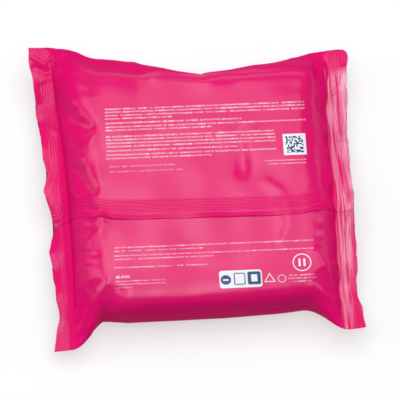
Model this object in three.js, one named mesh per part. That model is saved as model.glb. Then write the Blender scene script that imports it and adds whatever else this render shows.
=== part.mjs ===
// A sealed pack of wet wipes: one sheet of film wrapped into a tube round a stack of folded wipes,
// joined along the back by a folded-down seal, crimped shut at both ends, with a peel label on its front.
// Millimetres, +Z up. The pack lies on its front. X runs from end seal to end seal, Y across the pack.
import * as THREE from "three";

// Driving sizes of the pack
const packLength = 175; // edge to edge of the end seals, half way along them
const tubeWidth = 176; // the tube pressed flat, which is also the length of an end seal
const packThickness = 38;
const endSlope = 18; // from an end seal's inner line to the full thickness
const endSlopeSpread = 6; // how gently the slope meets the top of the stack
const contactShare = 0.93; // the front is pressed flat at this share of its half thickness
const upperFlatness = 6.2; // the higher, the squarer the section: on the loose upper side
const lowerFlatness = 10; // on the full lower side
const wallRoundness = 3.2; // 1 is a sharp folded edge, higher is a rounded side wall
const notchPlace = 3; // the loose long side is drawn in most here, right of the middle
const notchReachLeft = 34; // from there it changes from side wall to sharp edge over this length
const notchReachRight = 52;
const notchRound = 0.04; // how rounded the notch is
const notchTuck = 9; // how far the loose long side is drawn in there
const earLength = 17; // the full long side changes from wall to sharp ear over this length
const earSpread = 2.5; // how rounded the corner between wall and ear is
const sideTuckPower = 4; // tucks grow with this power of the distance from the centre line

// End seals
const endSealWidth = 11;
const endRibZone = 7.2; // ribbed part next to the body, the rest is a plain margin
const endRibCount = 5;
const endRibHeight = 0.7;
const sealThickness = 0.5; // two layers of film pressed together
const leftSealHollow = 4; // the middle of an end seal is drawn in by this, against its corners
const rightSealHollow = 3;
const leftSealSkew = 2.4; // the left seal's upper corner stands out by this, its lower corner in
const rightSealSkew = 0.6;
const sealWave = 2.4; // how far the outer edges of the end seals wave up and down
const sealWavePower = 1.5; // how late over the seal's width the waves grow
const longWave = 13; // millimetres along the seal for each radian of a wave
const shortWave = 5.3;
const shortWaveShare = 0.45;
const wavePhase = { left: 0.6, right: 2.1 };
const edgeRipple = 0.5; // in and out unevenness of their cut edges
const edgeLongRipple = 7.1;
const edgeShortRipple = 2.9;

// Corners of the pack: lift is up or down, draw is how far the corner is curled in towards the pack
const corners = {
  leftUpper: { lift: 7, draw: -2.6 },
  leftLower: { lift: -6, draw: -4 },
  rightUpper: { lift: -4, draw: 4 },
  rightLower: { lift: 0, draw: -1 },
};
const cornerReach = 0.35; // share of the half width and half length that a corner bends with
const bendPower = 3; // the end seals' own bend reaches into the body with this power of the length
const cornerRound = 4.5; // radius that is cut off the upper right corner

// The stack pushes the back up between its ears, beyond the slopes at the ends
const shoulderLength = 18; // from an end seal to the full thickness
const shoulderRoundness = 1.7;
const shoulderUpper = 86; // how far up the pack it reaches
const shoulderLower = 76;
const shoulderFade = 26;

// How an end seal stands up or hangs down from its inner line, as a slope at places across the pack
const leftCurl = [[-88, -0.2], [-60, -0.35], [60, -0.35], [88, 0]];
const rightCurl = [[-88, 0], [-60, 0.1], [-8, 0.1], [10, 0], [40, 0], [60, 0.1], [88, 0]];

// Rise and fall of the right end seal's line along its length
const swayHeight = 5;
const swayLength = 107;
const swayPlace = -37; // where it rises through its middle
const swayReach = 9; // it fades into the body over this length
const borderRipple = 0.7; // unevenness of the line where the body meets the right end seal
const borderReach = 4;
const borderShort = 2.9;
const borderLong = 4.7;
const borderLongShare = 0.8;

// Where the full long side is folded in beside each ear
const earTucks = [
  { at: -58, width: 8, depth: 2.6 },
  { at: 60, width: 11, depth: 5 },
];

// How far the long sides stand out further than that, at places along the pack
const upperTrim = [
  [-72, 0.5], [-62, 4.4], [-50, 5], [-43, 4], [-36, 2.4], [-16, 1.6], [-5, 0.4], [2, -1.4], [4.5, -3.2],
  [7, -1.6], [18, 0], [36, 0.8], [47, -0.2], [54, -0.8], [60, 0], [67, 1.4], [76.5, 1.3],
];
const lowerTrim = [
  [-76.5, 0], [-70, -1.9], [-66, -3.7], [-60, -4.6], [-57, -1.6], [-53, 0.8], [-46, 1.8], [-15, 1.8], [10, 1.2],
  [23, 0], [30, -0.8], [44, -2], [57, -2.2], [64, -1], [71, 0],
];

// Bumps in the cut edges, at places along them from the pack's centre line
const leftEdgeBumps = [
  { at: 6, width: 6, out: 2.4 },
  { at: -31, width: 4, out: 1.6 },
  { at: -66, width: 12, out: -1.6 },
  { at: 78, width: 6, out: 0.8 },
  { at: 14, width: 5, out: -2.4 },
  { at: -14, width: 9, out: -2.2 },
  { at: -72, width: 5, out: -2 },
];
const rightEdgeBumps = [{ at: -64, width: 9, out: -1.8 }];

// Back seal: the film's long edges, crimped together and folded down on the back
const backSealWidth = 12.5;
const backSealOffset = 17.6; // from the pack's centre line to the middle of the seal
const seamDrift = 7.8; // the back's film leans up by this towards the end seals, which keeps the seal straight
const seamTilt = 0.016; // and across by this share of the place along the pack
const backSealLift = 0.9;
const backSealEdge = 0.4; // the seal's step down to the film takes this much of its width
const backRibCount = 5;
const backRibHeight = 0.55;
const backSealEndRise = 0.4; // share of its height that it keeps where it is caught in an end seal
const backSealFullHeight = 0.1; // share of the pack's thickness where it has its full height
const foldFullHeight = 0.4; // share of the pack's thickness where the soft folds have theirs

// Peel label stuck on the front, with its pull tab towards the right end
const labelLength = 80;
const labelWidth = 52;
const labelCorner = 9;
const labelThickness = 0.3;
const tabWidth = 20;
const tabLength = 8;
const labelPlace = -tabLength / 2; // middle of the label without its tab, from the pack's middle

// How finely the film is divided
const bodyStations = 48;
const marginStations = 2;
const coarseStrips = 24;
const arcSamples = 240;
const bisections = 40;

// Folds and hollows in the back, along lines of points: height is above or below the film
const backFolds = [
  { path: [[-84, 84], [-71, 77], [-61, 71], [-47, 67.5], [-24, 65]], width: 6, height: 1.7, crease: true },
  { path: [[-24, 65], [-7, 62.5], [8, 60]], width: 5, height: 1, crease: true }, // upper edge of the stack
  { path: [[30, 62], [52, 66], [68, 70]], width: 6, height: 0.9 },
  { path: [[-66, 83], [-50, 77], [-30, 72]], width: 4, height: -1.2 },
  { path: [[-77, 48], [-71, 40], [-65, 35]], width: 5, height: -3 }, // pockets beside the left end seal
  { path: [[-79, 22], [-73, 11], [-68, 1], [-66, -3]], width: 4.5, height: -3 },
  { path: [[-62, 30], [-65, 22], [-68, 14]], width: 3.5, height: 1 },
  { path: [[-72, 64], [-70, 54]], width: 7, height: 2 },
  { path: [[-77, -1], [-71, -5], [-64, -8], [-60, -15], [-59, -22]], width: 3.4, height: 1.8, crease: true },
  { path: [[-59, -22], [-62, -29], [-67, -37]], width: 4, height: 1.3 }, // pulled by the caught back seal
  { path: [[-77, -26], [-77, -44], [-74, -62]], width: 4, height: -2 },
  { path: [[24.5, 10], [24.4, 5]], width: 7, height: -1.9 }, // sagging hollow over the wipes
  { path: [[38, -4], [44, -9], [47.5, -17.7], [49, -30], [45.5, -39]], width: 4, height: 1 },
  { path: [[-58, -61], [-65, -69], [-71, -81]], width: 4, height: 2, crease: true }, // lower left ear
  { path: [[-70, -68], [-76, -84]], width: 4, height: -1.8 },
  { path: [[-52, -66], [-60, -76]], width: 4, height: -1.2 },
  { path: [[74, 70], [74, 50], [75, 36]], width: 4, height: -2 },
  { path: [[72, 18], [72, -8]], width: 4, height: -1.4 },
  { path: [[76, -12], [73, -34], [75, -47]], width: 3, height: -1.4 },
  { path: [[64, -48], [70, -60], [77, -76]], width: 4, height: 1.7 }, // lower right ear
  { path: [[60, -66], [70, -74], [78, -84]], width: 3.5, height: 1.6, crease: true },
  { path: [[62, -58], [70, -52], [76, -50]], width: 3, height: 1.1, crease: true },
];
const creaseRound = 0.12; // how rounded a crease's line is, as a share of its width
const creaseFall = 1.6; // how fast a crease falls off to its sides

// Plain helpers
const halfTube = tubeWidth / 2;
const bodyHalfLength = packLength / 2 - endSealWidth;
const halfThickness = packThickness / (1 + contactShare);
const floorLevel = -halfThickness * contactShare;
const backSealLow = -backSealOffset - backSealWidth / 2;
const backSealHigh = -backSealOffset + backSealWidth / 2;
const backRibStep = backSealWidth / (2 * backRibCount);
const mix = (a, b, t) => a + (b - a) * t;
const smooth = (t) => {
  const s = Math.min(1, Math.max(0, t));
  return s * s * (3 - 2 * s);
};

// Value at a place of a line given by points, level beyond its ends.
function lineAt(points, place) {
  const next = points.findIndex((point) => point[0] > place);
  if (next === 0) return points[0][1];
  if (next < 0) return points[points.length - 1][1];
  const [from, low] = points[next - 1];
  const [to, high] = points[next];
  return mix(low, high, (place - from) / (to - from));
}

// A straight ramp from 0 at an end seal to 1 in the middle of the pack, levelling out after a given length.
function rampShare(x, length, spread) {
  const level = (distance) => {
    const over = distance / length - 1;
    return (over - Math.hypot(over, spread / length)) / 2;
  };
  const distance = bodyHalfLength - Math.abs(x);
  return (level(distance) - level(0)) / (level(bodyHalfLength) - level(0));
}

function halfHeightAt(x) {
  return mix(sealThickness / 2, halfThickness, rampShare(x, endSlope, endSlopeSpread));
}

// How much fuller than its slope the back is at a place along it and a film position.
function shoulder(x, v) {
  const left = 1 - Math.min(1, (bodyHalfLength - Math.abs(x)) / shoulderLength);
  const share = (1 - left ** shoulderRoundness) ** (1 / shoulderRoundness);
  const over = Math.max(0, mix(sealThickness / 2, halfThickness, share) - halfHeightAt(x));
  const edge = v >= 0 ? shoulderUpper : shoulderLower;
  return over * smooth((edge - Math.abs(v)) / shoulderFade);
}

// How far the loose long side is drawn in, from 1 at its notch to 0.
function notchShare(x) {
  const reach = x < notchPlace ? notchReachLeft : notchReachRight;
  const away = Math.hypot((x - notchPlace) / reach, notchRound) - notchRound;
  return Math.max(0, 1 - away);
}

// How round the side wall is, from 1 at a sharp folded edge: the upper long side is the loose one.
function roundnessAt(x, upper) {
  const full = rampShare(x, earLength, earSpread);
  const wall = upper ? full * notchShare(x) : full;
  return mix(1, wallRoundness, wall);
}

// Quarter of the section from the middle of the face to the side edge, as points spaced by arc length.
function quarterCurve(halfWidth, halfHeight, roundness, flatness) {
  const curve = [{ y: 0, z: halfHeight, arc: 0 }];
  for (let i = 1; i <= arcSamples; i++) {
    const angle = ((i / arcSamples) * Math.PI) / 2;
    const y = halfWidth * Math.sin(angle) ** (2 / flatness);
    const z = i === arcSamples ? 0 : halfHeight * Math.cos(angle) ** (2 / roundness);
    const last = curve[i - 1];
    curve.push({ y, z, arc: last.arc + Math.hypot(y - last.y, z - last.z) });
  }
  return curve;
}

// The film doesn't stretch, so the half width follows from the height: the quarter always has the same length.
function filmQuarter(halfHeight, roundness, flatness) {
  let narrow = halfTube / 2;
  let wide = halfTube;
  for (let i = 0; i < bisections; i++) {
    const middle = (narrow + wide) / 2;
    if (quarterCurve(middle, halfHeight, roundness, flatness)[arcSamples].arc > halfTube) wide = middle;
    else narrow = middle;
  }
  return quarterCurve(narrow, halfHeight, roundness, flatness);
}

// The point of a quarter at a share of its length.
function pointAtShare(curve, share) {
  const wanted = share * curve[curve.length - 1].arc;
  let i = 1;
  while (i < curve.length - 1 && curve[i].arc < wanted) i++;
  const a = curve[i - 1];
  const b = curve[i];
  const t = Math.min(1, Math.max(0, (wanted - a.arc) / (b.arc - a.arc)));
  return { y: mix(a.y, b.y, t), z: mix(a.z, b.z, t) };
}

// Film position of the strips across the tube, closer together over the back seal's ribs.
function stripLines() {
  const lines = [];
  const coarse = (tubeWidth - backSealWidth) / coarseStrips;
  const below = Math.max(2, Math.round((backSealLow + halfTube) / coarse));
  const above = Math.max(2, Math.round((halfTube - backSealHigh) / coarse));
  const lowFoot = backSealLow - backSealEdge;
  const highFoot = backSealHigh + backSealEdge;
  for (let i = 0; i <= below; i++) lines.push(mix(-halfTube, lowFoot, i / below));
  for (let i = 0; i <= 2 * backRibCount; i++) lines.push(backSealLow + i * backRibStep);
  for (let i = 0; i <= above; i++) lines.push(mix(highFoot, halfTube, i / above));
  return lines;
}

// Stations along the pack, from the left cut edge to the right one. Beyond the body, out is the distance from it.
function stationLine() {
  const ribStep = endRibZone / (2 * endRibCount);
  const margin = (endSealWidth - endRibZone) / marginStations;
  const seal = [];
  for (let i = 1; i <= 2 * endRibCount; i++) {
    seal.push({ out: i * ribStep, rib: i % 2 ? 0.5 : -0.5 });
  }
  for (let i = 1; i <= marginStations; i++) seal.push({ out: endRibZone + i * margin, rib: 0 });
  const left = [...seal].reverse().map((s) => ({ side: -1, ...s }));
  const right = seal.map((s) => ({ side: 1, ...s }));
  const body = [];
  for (let i = 0; i <= bodyStations; i++) {
    const u = -1 + (2 * i) / bodyStations;
    body.push({ side: Math.sign(u), out: 0, rib: 0, x: bodyHalfLength * Math.sin((u * Math.PI) / 2) });
  }
  return [...left, ...body, ...right];
}

// In-plane place of an end seal's line at a film position: hollow in the middle, the left one askew.
function sealShift(side, v) {
  const share = v / halfTube;
  const hollow = side < 0 ? leftSealHollow : rightSealHollow;
  const skew = side < 0 ? leftSealSkew : rightSealSkew;
  return side * (hollow * share * share + skew * share);
}

// How much a place belongs to its corner, from 0 away from it to 1 at the very corner.
function cornerShare(x, v) {
  const along = smooth((Math.abs(x) / bodyHalfLength - 1 + cornerReach) / cornerReach);
  const across = smooth((Math.abs(v) / halfTube - 1 + cornerReach) / cornerReach);
  return along * across;
}

function cornerOf(side, v) {
  if (side < 0) return v >= 0 ? corners.leftUpper : corners.leftLower;
  return v >= 0 ? corners.rightUpper : corners.rightLower;
}

// In and out unevenness of a cut edge at a place along it.
function edgeShift(side, v) {
  const bumps = side < 0 ? leftEdgeBumps : rightEdgeBumps;
  let shift = edgeRipple * Math.sin(v / edgeLongRipple) * Math.cos(v / edgeShortRipple);
  for (const bump of bumps) shift += bump.out * Math.exp(-(((v - bump.at) / bump.width) ** 2));
  return side * shift;
}

// Share of the end seal's width that is left beside the rounded upper right corner.
function cornerLeft(side, v) {
  if (side < 0) return 1;
  const into = Math.min(1, Math.max(0, (v - halfTube) / cornerRound + 1));
  return 1 - (cornerRound * (1 - Math.sqrt(1 - into * into))) / endSealWidth;
}

// Waviness of the line where the body meets the right end seal.
function borderShift(x, out, v) {
  if (x < 0) return 0;
  const wave = Math.sin(v / borderShort + 1) + borderLongShare * Math.sin(v / borderLong);
  const near = Math.exp((x - bodyHalfLength) / borderReach) * (1 - out / endSealWidth);
  return borderRipple * wave * near;
}

// Rise and fall of the right end seal along its length, faded out over the body.
function sway(x, v) {
  if (x < 0) return 0;
  const wave = Math.sin((2 * Math.PI * (v - swayPlace)) / swayLength);
  return swayHeight * wave * Math.exp((x - bodyHalfLength) / swayReach);
}

// Up and down waving of an end seal, growing towards its cut edge.
function sealLift(side, out, v) {
  const growth = (out / endSealWidth) ** sealWavePower;
  const phase = side < 0 ? wavePhase.left : wavePhase.right;
  const long = Math.sin(v / longWave + phase);
  const short = shortWaveShare * Math.sin(v / shortWave + 2 * phase);
  return sealWave * growth * (long + short);
}

// Distance from a place to a line of points.
function distanceTo(path, x, y) {
  let nearest = Infinity;
  for (let i = 1; i < path.length; i++) {
    const [x1, y1] = path[i - 1];
    const along = new THREE.Vector2(path[i][0] - x1, path[i][1] - y1);
    const here = new THREE.Vector2(x - x1, y - y1);
    const share = Math.min(1, Math.max(0, here.dot(along) / along.lengthSq()));
    nearest = Math.min(nearest, here.addScaledVector(along, -share).length());
  }
  return nearest;
}

// Height of the folds at a place on the back.
function foldHeight(x, y) {
  let height = 0;
  for (const fold of backFolds) {
    const off = distanceTo(fold.path, x, y) / fold.width;
    const fall = fold.crease ? Math.hypot(off, creaseRound) * creaseFall : off * off;
    height += fold.height * Math.exp(-fall);
  }
  return height;
}

// Raised, ribbed band of the back seal at a film position, counted in half ribs from its lower edge.
function backSealRise(v) {
  const step = Math.round((v - backSealLow) / backRibStep);
  const onSeal = v > backSealLow - backSealEdge / 2 && v < backSealHigh + backSealEdge / 2;
  if (!onSeal) return 0;
  return backSealLift + (step % 2 ? backRibHeight / 2 : -backRibHeight / 2);
}

// How far a long side is drawn in at its edge: the upper one at its notch, the lower one beside its ears.
function edgeTuck(x, upper) {
  if (upper) return notchTuck * notchShare(x) - lineAt(upperTrim, x);
  let tuck = -lineAt(lowerTrim, x);
  for (const fold of earTucks) tuck += fold.depth * Math.exp(-(((x - fold.at) / fold.width) ** 2));
  return tuck;
}

// Film position that a place on the back is taken from: the film leans across the pack towards its ends.
function seamPlace(x, v) {
  const drift = seamDrift * (1 - halfHeightAt(x) / halfThickness) - seamTilt * x;
  return v + drift * (1 - (v / halfTube) ** 2);
}

// One point of the film, on the back or the front.
function filmPoint(station, quarters, v, back) {
  const { side } = station;
  const place = back ? seamPlace(station.x, v) : v;
  const section = pointAtShare(place >= 0 ? quarters.upper : quarters.lower, Math.abs(place) / halfTube);
  const y = place >= 0 ? section.y : -section.y;
  const out = station.out * cornerLeft(side, place);
  const corner = cornerOf(side, place);
  const bend = cornerShare(station.x, place);
  const tuck = edgeTuck(station.x, place >= 0) * (section.y / halfTube) ** sideTuckPower;
  const drawn = (tuck + bend * corner.draw) * Math.sign(place);
  const stretch = (Math.abs(station.x) / bodyHalfLength) ** bendPower;
  const x = station.x + side * out + sealShift(side, place) * stretch + borderShift(station.x, out, place);
  const cutEdge = edgeShift(side, place) * smooth(out / endSealWidth);
  const curl = lineAt(side < 0 ? leftCurl : rightCurl, place) * out;
  const bends = sealLift(side, out, place) + bend * corner.lift + curl + sway(station.x, place);
  const body = halfHeightAt(station.x) / halfThickness;
  const sealRise = Math.min(1, mix(backSealEndRise, 1, body / backSealFullHeight));
  const fullness = back ? shoulder(station.x, place) + backSealRise(v) * sealRise : 0;
  const folds = back ? foldHeight(x, y) * smooth(body / foldFullHeight) : 0;
  const z = (back ? section.z : -section.z) + fullness + folds + bends + station.rib * endRibHeight;
  const lowest = station.out ? z : floorLevel;
  return new THREE.Vector3(x + cutEdge, y - drawn, Math.max(z, lowest) - floorLevel + labelThickness);
}

// The whole film as one closed mesh: rings of strips round the tube, closed at the two cut edges.
function filmGeometry() {
  const lines = stripLines();
  const stations = stationLine().map((s) => ({ ...s, x: s.x ?? s.side * bodyHalfLength }));
  const last = lines.length - 1;
  const positions = [];
  const ringStart = [];
  for (const station of stations) {
    const halfHeight = halfHeightAt(station.x);
    const quarters = {
      upper: filmQuarter(halfHeight, roundnessAt(station.x, true), upperFlatness),
      lower: filmQuarter(halfHeight, roundnessAt(station.x, false), lowerFlatness),
    };
    ringStart.push(positions.length / 3);
    for (let j = 0; j <= last; j++) positions.push(...filmPoint(station, quarters, lines[j], true));
    for (let j = last - 1; j > 0; j--) positions.push(...filmPoint(station, quarters, lines[j], false));
  }
  const ring = 2 * last;
  const index = [];
  for (let s = 0; s < stations.length - 1; s++) {
    for (let k = 0; k < ring; k++) {
      const a = ringStart[s] + k;
      const b = ringStart[s] + ((k + 1) % ring);
      const c = ringStart[s + 1] + ((k + 1) % ring);
      const d = ringStart[s + 1] + k;
      index.push(a, d, c, a, c, b);
    }
  }
  closeCutEdge(index, ringStart[0], ring, false);
  closeCutEdge(index, ringStart[stations.length - 1], ring, true);
  const geometry = new THREE.BufferGeometry();
  geometry.setAttribute("position", new THREE.Float32BufferAttribute(positions, 3));
  geometry.setIndex(index);
  return geometry;
}

// Narrow end face between the back and front layers at a cut edge.
function closeCutEdge(index, start, ring, right) {
  const half = ring / 2;
  for (let j = 0; j < half; j++) {
    const back = [start + j, start + j + 1];
    const front = [start + ((ring - j) % ring), start + (ring - j - 1)];
    const faces = [];
    if (j < half - 1) faces.push([back[0], back[1], front[1]]);
    if (j > 0) faces.push([back[0], front[1], front[0]]);
    for (const [a, b, c] of faces) index.push(...(right ? [a, c, b] : [a, b, c]));
  }
}

// Label outline: a rounded rectangle with a pull tab on its right end.
function labelShape() {
  const x = labelLength / 2;
  const y = labelWidth / 2;
  const r = labelCorner;
  const shape = new THREE.Shape();
  shape.moveTo(-x + r, -y);
  shape.lineTo(x - r, -y);
  shape.absarc(x - r, -y + r, r, -Math.PI / 2, 0, false);
  shape.lineTo(x, -tabWidth / 2);
  shape.absellipse(x, 0, tabLength, tabWidth / 2, -Math.PI / 2, Math.PI / 2, false);
  shape.lineTo(x, y - r);
  shape.absarc(x - r, y - r, r, 0, Math.PI / 2, false);
  shape.lineTo(-x + r, y);
  shape.absarc(-x + r, y - r, r, Math.PI / 2, Math.PI, false);
  shape.lineTo(-x, -y + r);
  shape.absarc(-x + r, -y + r, r, Math.PI, 1.5 * Math.PI, false);
  return shape;
}

// The film with the stack of wipes sealed in it
function filmPack() {
  const geometry = filmGeometry();
  geometry.computeVertexNormals();
  const material = new THREE.MeshStandardMaterial({ color: 0xe32a74, roughness: 0.42, metalness: 0 });
  const mesh = new THREE.Mesh(geometry, material);
  mesh.name = "film_pack";
  return mesh;
}

// The label under the film's front, which the pack lies on
function peelLabel() {
  const options = { depth: labelThickness, bevelEnabled: false, curveSegments: 10 };
  const geometry = new THREE.ExtrudeGeometry(labelShape(), options);
  const material = new THREE.MeshStandardMaterial({ color: 0xf3e9ee, roughness: 0.35, metalness: 0 });
  const mesh = new THREE.Mesh(geometry, material);
  mesh.name = "peel_label";
  mesh.position.x = labelPlace;
  return mesh;
}

// The origin is under the middle of the pack's outline, on the surface that it lies on.
const pack = new THREE.Group();
pack.add(filmPack(), peelLabel());
const centre = new THREE.Box3().setFromObject(pack).getCenter(new THREE.Vector3());
pack.position.set(-centre.x, -centre.y, 0);

export default pack;
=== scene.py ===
"""A sealed pack of wet wipes: satin pink film round a stack of folded wipes, lying on its front.

The film is one sheet wrapped into a tube. Its long edges are crimped together and folded down along the
back, its ends are crimped shut, and a peel label lies under the front. Lengths are millimetres in the
classes below and become metres where a mesh is made.
"""

import logging
import math
from dataclasses import dataclass
from enum import Enum
from functools import reduce

import bmesh
import bpy
import numpy as np
from mathutils import Matrix, Vector

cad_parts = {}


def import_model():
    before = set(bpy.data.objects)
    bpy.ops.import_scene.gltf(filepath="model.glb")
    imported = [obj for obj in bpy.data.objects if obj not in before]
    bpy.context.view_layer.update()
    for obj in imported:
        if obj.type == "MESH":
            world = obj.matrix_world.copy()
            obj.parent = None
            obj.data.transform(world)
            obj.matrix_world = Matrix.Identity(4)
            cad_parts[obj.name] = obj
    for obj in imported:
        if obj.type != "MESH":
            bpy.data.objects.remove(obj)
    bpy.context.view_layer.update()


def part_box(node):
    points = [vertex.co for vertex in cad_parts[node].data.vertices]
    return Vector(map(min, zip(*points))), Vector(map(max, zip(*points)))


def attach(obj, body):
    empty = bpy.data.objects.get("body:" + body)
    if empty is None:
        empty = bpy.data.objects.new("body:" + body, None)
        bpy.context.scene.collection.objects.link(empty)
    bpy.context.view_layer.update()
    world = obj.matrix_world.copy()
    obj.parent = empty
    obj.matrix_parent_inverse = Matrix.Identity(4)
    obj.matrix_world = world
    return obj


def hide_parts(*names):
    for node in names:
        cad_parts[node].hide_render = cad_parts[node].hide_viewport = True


MM = 0.001
SHORTEST = 1e-9
# Sockets of a Mix node that mixes colours.
MIX_A, MIX_B, MIX_RESULT = 6, 7, 2
BODY = "root"

Point = tuple[float, float]
# A step is a place or level, and how softly one side of it turns into the other.
Step = tuple[float, float]
Triple = tuple[float, float, float]
Colour = Triple
log = logging.getLogger("wipes_pack")


class End(Enum):
    """The two end seals, by the sign of their X."""

    LEFT = -1
    RIGHT = 1


class Profile(Enum):
    """How a fold in the film rises across its line."""

    SOFT = "soft"
    CREASE = "crease"


@dataclass(frozen=True)
class Fold:
    """A ridge or hollow in the back of the film, along a line of points.

    Attributes:
        path: Points of the line, in millimetres on X and Y.
        width: How far it reaches to each side.
        height: How far it stands out, or in when negative.
        profile: Soft for a rounded one, crease for one with a sharp line.
        crease_round: How rounded the line of a crease is, as a share of its width.
        crease_fall: How fast a crease falls off beside its line.
    """

    path: tuple[Point, ...]
    width: float
    height: float
    profile: Profile = Profile.SOFT
    crease_round: float = 0.12
    crease_fall: float = 1.6

    def rise(self, x: np.ndarray, y: np.ndarray) -> np.ndarray:
        """Height of this fold at places on the back.

        Args:
            x: Places along the pack.
            y: Places across it, in the same shape.

        Returns:
            The height at each place.
        """
        nearest = np.full(x.shape, np.inf)
        for (x1, y1), (x2, y2) in zip(self.path, self.path[1:]):
            run, climb = x2 - x1, y2 - y1
            share = ((x - x1) * run + (y - y1) * climb) / (run * run + climb * climb)
            share = np.clip(share, 0, 1)
            nearest = np.minimum(nearest, np.hypot(x - x1 - share * run, y - y1 - share * climb))
        off = nearest / self.width
        if self.profile is Profile.CREASE:
            return self.height * np.exp(-np.hypot(off, self.crease_round) * self.crease_fall)
        return self.height * np.exp(-off * off)


@dataclass(frozen=True)
class Corner:
    """How a corner of the pack is bent.

    Attributes:
        lift: Up or down.
        draw: Curled in towards the pack's centre line, or out when negative.
    """

    lift: float
    draw: float


@dataclass(frozen=True)
class Bump:
    """A bulge of an edge, at a place along it."""

    at: float
    width: float
    out: float

    def rise(self, places: np.ndarray) -> np.ndarray:
        """How far it stands out at places along the edge."""
        return self.out * np.exp(-(((places - self.at) / self.width) ** 2))


def smooth(t: np.ndarray) -> np.ndarray:
    """Soft step from 0 to 1 as t goes from 0 to 1."""
    s = np.clip(t, 0, 1)
    return s * s * (3 - 2 * s)


def mix(a: float, b: float, t: np.ndarray) -> np.ndarray:
    """Value between a and b at share t."""
    return a + (b - a) * t


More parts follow.
